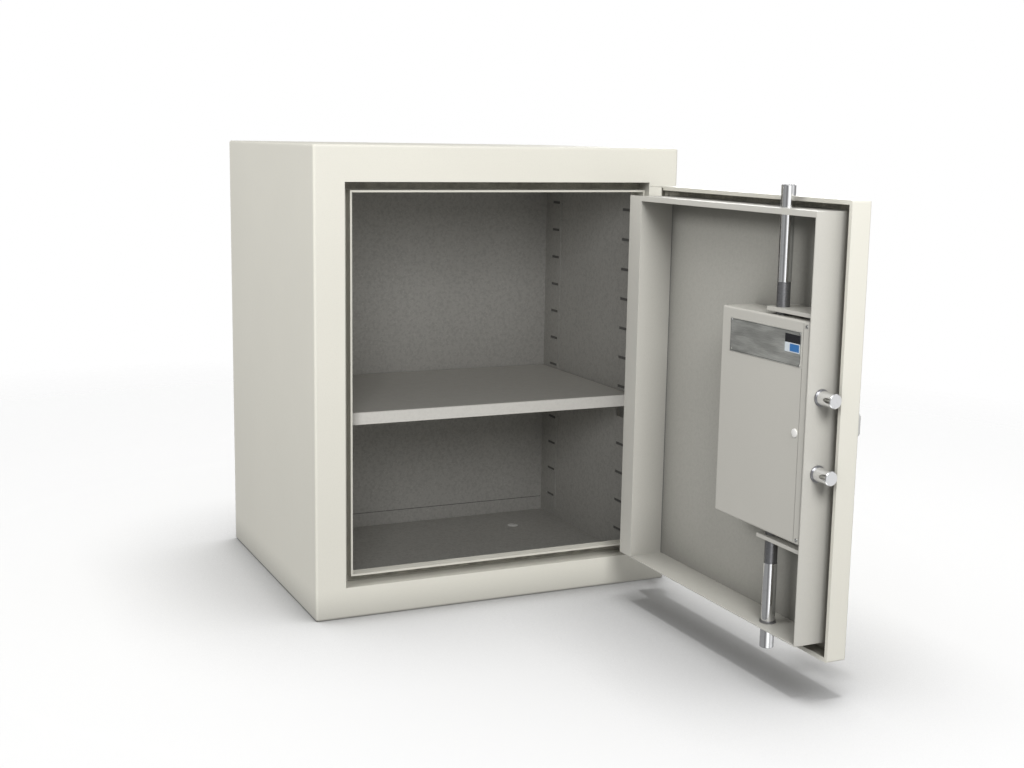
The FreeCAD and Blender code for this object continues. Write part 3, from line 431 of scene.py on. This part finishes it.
def dress_nodes():
    for entry in frame["record"]["subparts"]:
        mesh = NODES[entry["node"]].data
        mesh.materials.clear()
        mesh.materials.append(material_for(entry["node"], entry["material_slot"]))


# ---------------------------------------------------------------- detail pieces

SEGMENTS = 40
SMOOTH_BELOW = math.radians(35)
# How far a piece is sunk into the surface that it lies on.
SINK = 0.05 * MM
AXES = {"x": Vector((1, 0, 0)), "y": Vector((0, 1, 0)), "z": Vector((0, 0, 1))}
# Away from the door's inside, while the door stands open.
INTO_ROOM = -AXES["x"]


def new_piece(name, body, material, shape):
    """A new mesh in the frame's own coordinates, which rides on a body."""
    mesh = bpy.data.meshes.new(name)
    bmesh.ops.recalc_face_normals(shape, faces=shape.faces)
    shape.to_mesh(mesh)
    shape.free()
    mesh.materials.append(material)
    for polygon in mesh.polygons:
        polygon.use_smooth = True
    mesh.set_sharp_from_angle(angle=SMOOTH_BELOW)
    obj = bpy.data.objects.new(name, mesh)
    bpy.context.collection.objects.link(obj)
    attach(obj, body)
    return obj


def turned(shape, centre, direction, profile):
    """Add a turned solid: the profile's points are distances along the direction and radii."""
    along = Vector(direction).normalized()
    side = along.orthogonal().normalized()
    other = along.cross(side)
    rings = []
    for distance, radius in profile:
        middle = Vector(centre) + along * distance
        if radius == 0:
            rings.append([shape.verts.new(middle)])
            continue
        ring = []
        for step in range(SEGMENTS):
            angle = 2 * math.pi * step / SEGMENTS
            outward = side * math.cos(angle) + other * math.sin(angle)
            ring.append(shape.verts.new(middle + radius * outward))
        rings.append(ring)
    for one, two in zip(rings, rings[1:]):
        for step in range(SEGMENTS):
            corners = [one[step % len(one)], one[(step + 1) % len(one)],
                       two[(step + 1) % len(two)], two[step % len(two)]]
            shape.faces.new(list(dict.fromkeys(corners)))


def block(shape, low, high):
    """Add a box between two corners."""
    made = bmesh.ops.create_cube(shape, size=1.0)
    for vertex in made["verts"]:
        vertex.co = Vector([low[i] + (vertex.co[i] + 0.5) * (high[i] - low[i]) for i in range(3)])


DOME_STEPS = 7
# Below 1 the dome is fuller than half an ellipse.
DOME_POWER = 0.55


def dome(radius, rise, edge):
    """A profile from a rim up over a shallow dome to its middle."""
    points = [(0.0, 0.0), (0.0, radius), (edge * 0.5, radius)]
    for step in range(DOME_STEPS + 1):
        angle = math.pi / 2 * step / DOME_STEPS
        height = edge + (rise - edge) * math.sin(angle)
        points.append((height, radius * math.cos(angle) ** DOME_POWER))
    points[-1] = (rise, 0.0)
    return points


def socket_head(radius, rise, socket, deep):
    """A profile of a button head with a recess in its middle."""
    return [(0.0, 0.0), (0.0, radius), (0.35 * rise, radius), (0.8 * rise, 0.86 * radius),
            (rise, 0.62 * radius), (rise, socket), (rise - deep, socket * 0.9), (rise - deep, 0.0)]


def middle_of(node):
    low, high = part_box(node)
    return (low + high) / 2


def behind_face(low, high, rise):
    """The middle of a small part on the door's inside, at a depth of rise behind its face."""
    return Vector((low.x + rise, (low.y + high.y) / 2, (low.z + high.z) / 2))


# Corners of a mesh that are closer than this are one corner.
SAME_PLACE = 1e-7


def islands(node):
    """The corners of each separate solid of a CAD node, as (lowest, highest)."""
    shape = bmesh.new()
    shape.from_mesh(NODES[node].data)
    bmesh.ops.remove_doubles(shape, verts=shape.verts, dist=SAME_PLACE)
    left = set(shape.verts)
    boxes = []
    while left:
        group = [left.pop()]
        for vertex in group:
            for edge in vertex.link_edges:
                other = edge.other_vert(vertex)
                if other in left:
                    left.remove(other)
                    group.append(other)
        places = [vertex.co for vertex in group]
        boxes.append((Vector([min(place[i] for place in places) for i in range(3)]),
                      Vector([max(place[i] for place in places) for i in range(3)])))
    shape.free()
    return sorted(boxes, key=lambda pair: tuple(pair[0]))


def add_cover_plug():
    """A domed push-in plug, on a short stem."""
    low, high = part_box("cover_plug")
    radius = (high.z - low.z) / 2
    rise, edge = 2.0 * MM, 0.9 * MM
    base = behind_face(low, high, rise)
    stem, stem_end, stem_long = radius * 0.7, radius * 0.66, high.x - base.x
    shape = bmesh.new()
    turned(shape, base, INTO_ROOM, dome(radius, rise, edge))
    turned(shape, base, AXES["x"], [(0, 0), (0, stem), (stem_long, stem_end), (stem_long, 0)])
    plug = new_piece("cover_plug_domed", "door", LOOKS["white_plastic"], shape)
    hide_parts("cover_plug")


# A cap with a rim round a low dome, as shares of its height and of its radius.
CAP_PROFILE = ((0, 0), (0, 1), (0.25, 1), (0.45, 0.95), (0.5, 0.80), (0.8, 0.66), (0.95, 0.4),
               (1, 0))


def add_anchor_caps():
    """Domed caps with a rim, over the holes in the cabinet's floor."""
    shape = bmesh.new()
    for low, high in islands("anchor_plugs"):
        centre = Vector(((low.x + high.x) / 2, (low.y + high.y) / 2, low.z))
        radius = (high.x - low.x) / 2
        rise = high.z - low.z
        turned(shape, centre, AXES["z"], [(up * rise, out * radius) for up, out in CAP_PROFILE])
    caps = new_piece("anchor_caps", "cabinet", LOOKS["white_plastic"], shape)
    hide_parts("anchor_plugs")


def add_cover_screws():
    """Small socket screws at the cover's leading edge."""
    shape = bmesh.new()
    for low, high in islands("cover_screws"):
        radius = (high.z - low.z) / 2
        rise, deep = 1.2 * MM, 1.0 * MM
        base = behind_face(low, high, rise)
        turned(shape, base, INTO_ROOM, socket_head(radius, rise, 0.48 * radius, deep))
    screws = new_piece("cover_screws_socket", "door", LOOKS["plain_steel"], shape)
    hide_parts("cover_screws")


def add_plate_rivets():
    """Domed rivet heads that hold the metal plate."""
    shape = bmesh.new()
    for low, high in islands("plate_rivets"):
        radius = (high.z - low.z) / 2
        rise, edge = 0.7 * MM, 0.2 * MM
        base = behind_face(low, high, rise)
        turned(shape, base, INTO_ROOM, dome(radius, rise, edge))
    rivets = new_piece("plate_rivets_domed", "door", LOOKS["plain_steel"], shape)
    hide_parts("plate_rivets")


def add_hinge_pins():
    """Turned pins with a chamfered foot, and a rounded head with a dimple in it."""
    shaft, head, head_tall, chamfer = 5 * MM, 8 * MM, 3 * MM, 0.9 * MM
    dimple, dimple_foot, dimple_deep = 2.2 * MM, 1.4 * MM, 0.8 * MM
    for level in ("upper", "lower"):
        node = f"hinge_pin_{level}"
        low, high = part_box(node)
        tall = high.z - low.z
        foot = Vector((middle_of(node).x, middle_of(node).y, low.z))
        shape = bmesh.new()
        turned(shape, foot, AXES["z"], [
            (0, 0), (0, shaft - chamfer), (chamfer, shaft),
            (tall - head_tall, shaft), (tall - head_tall, head), (tall - chamfer, head),
            (tall - 0.25 * chamfer, head - 0.6 * chamfer), (tall, head - 1.6 * chamfer),
            (tall, dimple), (tall - dimple_deep, dimple_foot), (tall - dimple_deep, 0)])
        pin = new_piece(f"{node}_turned", "cabinet", LOOKS["plain_steel"], shape)
        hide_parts(node)


# The slots of the shelf uprights, as in the CAD model.
SLOT_FIRST, SLOT_PITCH, SLOTS = 61 * MM, 52 * MM, 12
SLOT_HALF_WIDE, SLOT_HALF_TALL = 14.8 * MM, 2.3 * MM


def add_slot_depths():
    """Painted shade: a dark block behind each slot of the shelf uprights, where its depth is unlit.
    """
    for side in ("left", "right"):
        shape = bmesh.new()
        for low, high in islands(f"shelf_strips_{side}"):
            middle = (low.y + high.y) / 2
            thick = 4 * SINK
            wall = (low.x, low.x + thick) if side == "left" else (high.x - thick, high.x)
            for index in range(SLOTS):
                level = SLOT_FIRST + SLOT_PITCH * index
                block(shape, (wall[0], middle - SLOT_HALF_WIDE, level - SLOT_HALF_TALL),
                      (wall[1], middle + SLOT_HALF_WIDE, level + SLOT_HALF_TALL))
        new_piece(f"slot_depths_{side}", "cabinet", LOOKS["slot_shade_and_seam"], shape)


# The faces that the hinge leaves' pads lie on, how long the door's pads are, and how many steps
# one ripple of a weld has.
PAD_FACE = {"cabinet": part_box("outer_casing")[0].y, "door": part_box("door_pan")[1].x}
DOOR_PAD = 34 * MM
BEAD_STEPS = 6


def bead(length):
    """A profile of a rippled weld bead with tapered ends."""
    reach, swell, pitch = 1.7 * MM, 0.35 * MM, 3.2 * MM
    steps = int(length / pitch * BEAD_STEPS)
    profile = [(0, 0)]
    for step in range(steps + 1):
        ripple = abs(math.sin(math.pi * step / BEAD_STEPS))
        taper = min(1.0, 0.5 + 0.25 * min(step, steps - step))
        profile.append((length * step / steps, (reach + swell * ripple) * taper))
    profile.append((length, 0))
    return profile


def add_beads():
    """Fillet welds along the top and bottom of every hinge leaf's pad."""
    short = 2 * MM
    for level in ("upper", "lower"):
        for owner in ("cabinet", "door"):
            low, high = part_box(f"hinge_leaf_{owner}_{level}")
            shape = bmesh.new()
            for z in (low.z, high.z):
                if owner == "cabinet":
                    start = Vector((low.x + short, PAD_FACE["cabinet"], z))
                    way, length = AXES["x"], high.x - low.x - 2 * short
                else:
                    start = Vector((PAD_FACE["door"], low.y + short, z))
                    way, length = AXES["y"], DOOR_PAD - 2 * short
                turned(shape, start, way, bead(length))
            new_piece(f"weld_{owner}_{level}", owner, PAINTS["casing"], shape)


def add_tray_seams():
    """Sealant where the tray's sheet meets its walls."""
    low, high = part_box("door_inner_panel")
    wide = 0.9 * MM
    front, behind = low.x - wide, low.x + SINK
    shape = bmesh.new()
    block(shape, (front, high.y - wide, low.z), (behind, high.y, high.z))
    block(shape, (front, low.y, low.z), (behind, low.y + wide, high.z))
    new_piece("tray_seams", "door", LOOKS["slot_shade_and_seam"], shape)


# The liner's sheet, and the top of the lap on its back wall.
LINER_SKIN = 1.2 * MM
LAP_TOP = 47 * MM


def add_liner_fold():
    """The lap of the liner's floor sheet, turned up along the back wall, with its dark edge."""
    low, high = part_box("inner_liner")
    lap, edge = 0.5 * MM, 1.3 * MM
    wall = high.y - LINER_SKIN
    left, right = low.x + 2 * LINER_SKIN, high.x - 2 * LINER_SKIN
    shape = bmesh.new()
    block(shape, (left, wall - lap, low.z + LINER_SKIN), (right, wall + SINK, LAP_TOP - edge))
    new_piece("liner_lap", "cabinet", PAINTS["inside"], shape)
    shape = bmesh.new()
    block(shape, (left, wall - lap / 2, LAP_TOP - edge), (right, wall + SINK, LAP_TOP))
    new_piece("liner_lap_edge", "cabinet", LOOKS["slot_shade_and_seam"], shape)


def add_back_welds():
    """Shallow plug welds round the rear panel, painted over."""
    low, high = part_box("rear_panel")
    margin, count_wide, count_tall = 14 * MM, 5, 6
    radius, rise, edge = 4 * MM, 0.4 * MM, 0.1 * MM
    places = []
    for index in range(count_wide):
        x = low.x + margin + (high.x - low.x - 2 * margin) * index / (count_wide - 1)
        places += [(x, low.z + margin), (x, high.z - margin)]
    for index in range(1, count_tall - 1):
        z = low.z + margin + (high.z - low.z - 2 * margin) * index / (count_tall - 1)
        places += [(low.x + margin, z), (high.x - margin, z)]
    shape = bmesh.new()
    for x, z in places:
        turned(shape, (x, high.y - SINK, z), AXES["y"], dome(radius, rise, edge))
    new_piece("back_plug_welds", "cabinet", PAINTS["casing"], shape)


def add_handle_trim():
    """A bright collar round the handle's neck."""
    neck, proud, wide, bevel, clear = 12 * MM, 1.4 * MM, 7 * MM, 0.6 * MM, 4 * MM
    base = middle_of("handle_grip")
    base.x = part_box("handle_rose")[1].x + clear
    shape = bmesh.new()
    turned(shape, base, AXES["x"], [
        (0, 0), (0, neck), (0, neck + proud - bevel), (bevel, neck + proud),
        (wide - bevel, neck + proud), (wide, neck + proud - bevel), (wide, neck), (wide, 0)])
    new_piece("handle_collar", "handle", LOOKS["chrome_flat"], shape)


def add_details():
    add_cover_plug()
    add_anchor_caps()
    add_cover_screws()
    add_plate_rivets()
    add_hinge_pins()
    add_slot_depths()
    add_beads()
    add_tray_seams()
    add_liner_fold()
    add_back_welds()
    add_handle_trim()


# ---------------------------------------------------------------- camera, light and floor

CAMERA_PLACE = Vector((-0.94114, -2.32770, 0.75434))
CAMERA_YAW = math.radians(24.8259)
CAMERA_PITCH = math.radians(-9.7987)
CAMERA_ROLL = math.radians(0.9587)
CAMERA_LENS = 50.254
SENSOR = 36.0


def add_camera():
    """A camera from its place, its heading to the right of +Y, its tilt and its roll."""
    ahead = Vector((math.sin(CAMERA_YAW) * math.cos(CAMERA_PITCH),
                    math.cos(CAMERA_YAW) * math.cos(CAMERA_PITCH),
                    math.sin(CAMERA_PITCH)))
    level = Vector((math.cos(CAMERA_YAW), -math.sin(CAMERA_YAW), 0.0))
    above = level.cross(ahead)
    right = level * math.cos(CAMERA_ROLL) + above * math.sin(CAMERA_ROLL)
    up = above * math.cos(CAMERA_ROLL) - level * math.sin(CAMERA_ROLL)
    turn = Matrix((right, up, -ahead)).transposed().to_4x4()
    data = bpy.data.cameras.new("camera")
    data.lens = CAMERA_LENS
    data.sensor_width = SENSOR
    data.sensor_fit = "HORIZONTAL"
    camera = bpy.data.objects.new("camera", data)
    camera.matrix_world = Matrix.Translation(CAMERA_PLACE) @ turn
    bpy.context.collection.objects.link(camera)
    bpy.context.scene.camera = camera


FLOOR_HALF = 4.0
# The floor is solid out to the first distance from the middle, and gone at the second.
FLOOR_SOLID, FLOOR_GONE = 0.9, 2.4
# The reach and the strength of the shade painted on the floor round what stands on it.
FLOOR_PAINTED_SHADE = (0.32, 0.75)


def add_floor():
    """A pale floor with shade painted round what stands on it, which fades into the white round it.
    """
    half = FLOOR_HALF
    corners = [(-half, -half, 0), (half, -half, 0), (half, half, 0), (-half, half, 0)]
    mesh = bpy.data.meshes.new("floor")
    mesh.from_pydata(corners, [], [(0, 1, 2, 3)])
    floor = bpy.data.objects.new("floor", mesh)
    bpy.context.collection.objects.link(floor)
    look = Look("floor", (0.80, 0.80, 0.80), 0.75, specular=0.1)
    painted_corner_shade(look, *FLOOR_PAINTED_SHADE)
    distance = look.add("ShaderNodeVectorMath", operation="LENGTH")
    look.link(look.place, distance.inputs[0])
    solid = look.fit(distance.outputs["Value"], FLOOR_SOLID, FLOOR_GONE, 1.0, 0.0)
    look.link(solid, look.shader.inputs["Alpha"])
    mesh.materials.append(look.material)
    floor.visible_diffuse = floor.visible_glossy = False
    return floor


# Brightness of the surroundings, from straight down (0) to straight up (1).
SKY = ((0.0, 0.46), (0.45, 0.32), (0.60, 0.34), (1.0, 0.20))
# What a mirror sees, from far left (0) to far right (1): white cards and dark flags in front of
# the object, and an even grey behind it.
STUDIO = ((0.0, 0.36), (0.08, 0.18), (0.15, 0.36), (0.21, 0.80), (0.30, 1.30), (0.42, 1.55),
          (0.52, 0.95), (0.62, 0.50), (0.74, 0.78), (0.86, 0.85), (1.0, 0.30))
STUDIO_BEHIND = ((0.0, 0.30), (1.0, 0.26))
# The span of a direction's Y over which the cards give way to the grey.
CARDS_END = (-0.10, 0.30)
BACKDROP = 1.0


def fade(tree, socket, stops):
    """A background whose brightness follows a direction's part from -1 to 1."""
    spread = tree.nodes.new("ShaderNodeMapRange")
    spread.inputs["From Min"].default_value = -1.0
    ramp = tree.nodes.new("ShaderNodeValToRGB")
    ramp.color_ramp.interpolation = "EASE"
    while len(ramp.color_ramp.elements) < len(stops):
        ramp.color_ramp.elements.new(0.5)
    for stop, (position, level) in zip(ramp.color_ramp.elements, stops):
        stop.position = position
        stop.color = (level, level, level, 1)
    shine = tree.nodes.new("ShaderNodeBackground")
    tree.links.new(socket, spread.inputs["Value"])
    tree.links.new(spread.outputs["Result"], ramp.inputs["Fac"])
    tree.links.new(ramp.outputs["Color"], shine.inputs["Color"])
    return shine.outputs[0]


def add_world():
    """Soft surroundings. Mirrors see cards and flags, and the camera sees plain white."""
    world = bpy.data.worlds.new("world")
    world.use_nodes = True
    tree = world.node_tree
    place = tree.nodes.new("ShaderNodeTexCoord")
    split = tree.nodes.new("ShaderNodeSeparateXYZ")
    tree.links.new(place.outputs["Generated"], split.inputs[0])
    backdrop = tree.nodes["Background"]
    backdrop.inputs["Color"].default_value = (1, 1, 1, 1)
    backdrop.inputs["Strength"].default_value = BACKDROP
    path = tree.nodes.new("ShaderNodeLightPath")
    seen_in_gloss = tree.nodes.new("ShaderNodeMixShader")
    seen_direct = tree.nodes.new("ShaderNodeMixShader")
    tree.links.new(path.outputs["Is Glossy Ray"], seen_in_gloss.inputs[0])
    tree.links.new(fade(tree, split.outputs["Z"], SKY), seen_in_gloss.inputs[1])
    facing = tree.nodes.new("ShaderNodeMapRange")
    facing.inputs["From Min"].default_value, facing.inputs["From Max"].default_value = CARDS_END
    tree.links.new(split.outputs["Y"], facing.inputs["Value"])
    studio = tree.nodes.new("ShaderNodeMixShader")
    tree.links.new(facing.outputs["Result"], studio.inputs[0])
    tree.links.new(fade(tree, split.outputs["X"], STUDIO), studio.inputs[1])
    tree.links.new(fade(tree, split.outputs["X"], STUDIO_BEHIND), studio.inputs[2])
    tree.links.new(studio.outputs[0], seen_in_gloss.inputs[2])
    tree.links.new(path.outputs["Is Camera Ray"], seen_direct.inputs[0])
    tree.links.new(seen_in_gloss.outputs[0], seen_direct.inputs[1])
    tree.links.new(backdrop.outputs[0], seen_direct.inputs[2])
    tree.links.new(seen_direct.outputs[0], tree.nodes["World Output"].inputs["Surface"])
    bpy.context.scene.world = world


# The inside of the cabinet, which has its own lamps: CAD nodes, and added pieces.
INTERIOR = ("inner_liner", "shelf", "shelf_strips_left", "shelf_strips_right", "shelf_clips")
INTERIOR_PIECES = ("anchor_caps", "slot_depths_left", "slot_depths_right", "liner_lap",
                   "liner_lap_edge")
# Each lamp's name, place, target, size, power in watts, what it shines on, and whether bright
# metal mirrors it.
LAMPS = (
    ("key", (-0.35, -2.7, 1.95), (0.0, -0.25, 0.55), (1.2, 1.0), 56, "outside", True),
    ("left", (-2.6, -0.30, 1.9), (0.1, -0.35, 0.4), (2.0, 1.0), 38, "outside", False),
    ("back", (2.3, 2.0, 1.9), (0.1, 0.0, 0.4), (1.6, 1.6), 60, "outside", True),
    ("inside", (-0.9, -2.2, 1.25), (0.1, 0.2, 0.30), (0.9, 0.7), 15, "inside_only", False),
    ("shelf_edge", (-1.1, -2.2, 0.28), (0.0, -0.2, 0.36), (0.5, 0.3), 20, "shelf_only", False),
    ("floor_wide", (0.1, -0.3, 2.6), (0.1, -0.3, 0.0), (5.0, 5.0), 84, "floor_only", False),
)
# The light from straight above on the floor: its strength, and how wide its source looks, in
# radians.
NOON_STRENGTH, NOON_SPREAD = 1.50, 0.13


def shown_only(name, objects, left_out=False):
    """A collection for a lamp: it shines on these objects only, or on all but these."""
    group = bpy.data.collections.new(name)
    for obj in objects:
        group.objects.link(obj)
    if left_out:
        for member in group.collection_objects:
            member.light_linking.link_state = "EXCLUDE"
    return group


def add_area(name, place, target, size, energy, shown, mirrored):
    """An area light, and the collection that says which objects it shines on."""
    data = bpy.data.lights.new(name, "AREA")
    data.shape = "RECTANGLE"
    data.size, data.size_y = size
    data.energy = energy
    light = bpy.data.objects.new(name, data)
    direction = Vector(target) - Vector(place)
    turn = direction.to_track_quat("-Z", "Y").to_matrix().to_4x4()
    light.matrix_world = Matrix.Translation(Vector(place)) @ turn
    light.light_linking.receiver_collection = shown
    light.visible_glossy = mirrored
    bpy.context.collection.objects.link(light)


def add_noon(name, strength, spread, shown):
    """Light from straight above."""
    data = bpy.data.lights.new(name, "SUN")
    data.energy = strength
    data.angle = spread
    light = bpy.data.objects.new(name, data)
    light.light_linking.receiver_collection = shown
    light.visible_glossy = False
    bpy.context.collection.objects.link(light)


def add_lights(floor):
    """Soft lamps in front, at the left and behind, and dimmer ones for the inside and the floor."""
    inside = [NODES[node] for node in INTERIOR]
    inside += [bpy.data.objects[name] for name in INTERIOR_PIECES]
    groups = {
        "floor_only": shown_only("floor_only", [floor]),
        "shelf_only": shown_only("shelf_only", [NODES["shelf"]]),
        "inside_only": shown_only("inside_only", inside),
        "outside": shown_only("outside", [floor] + inside, left_out=True),
    }
    for name, place, target, size, energy, shown, mirrored in LAMPS:
        add_area(name, place, target, size, energy, groups[shown], mirrored)
    add_noon("floor_above", NOON_STRENGTH, NOON_SPREAD, groups["floor_only"])


bpy.context.scene.view_settings.view_transform = "Standard"
dress_nodes()
add_details()
add_camera()
floor = add_floor()
add_world()
add_lights(floor)
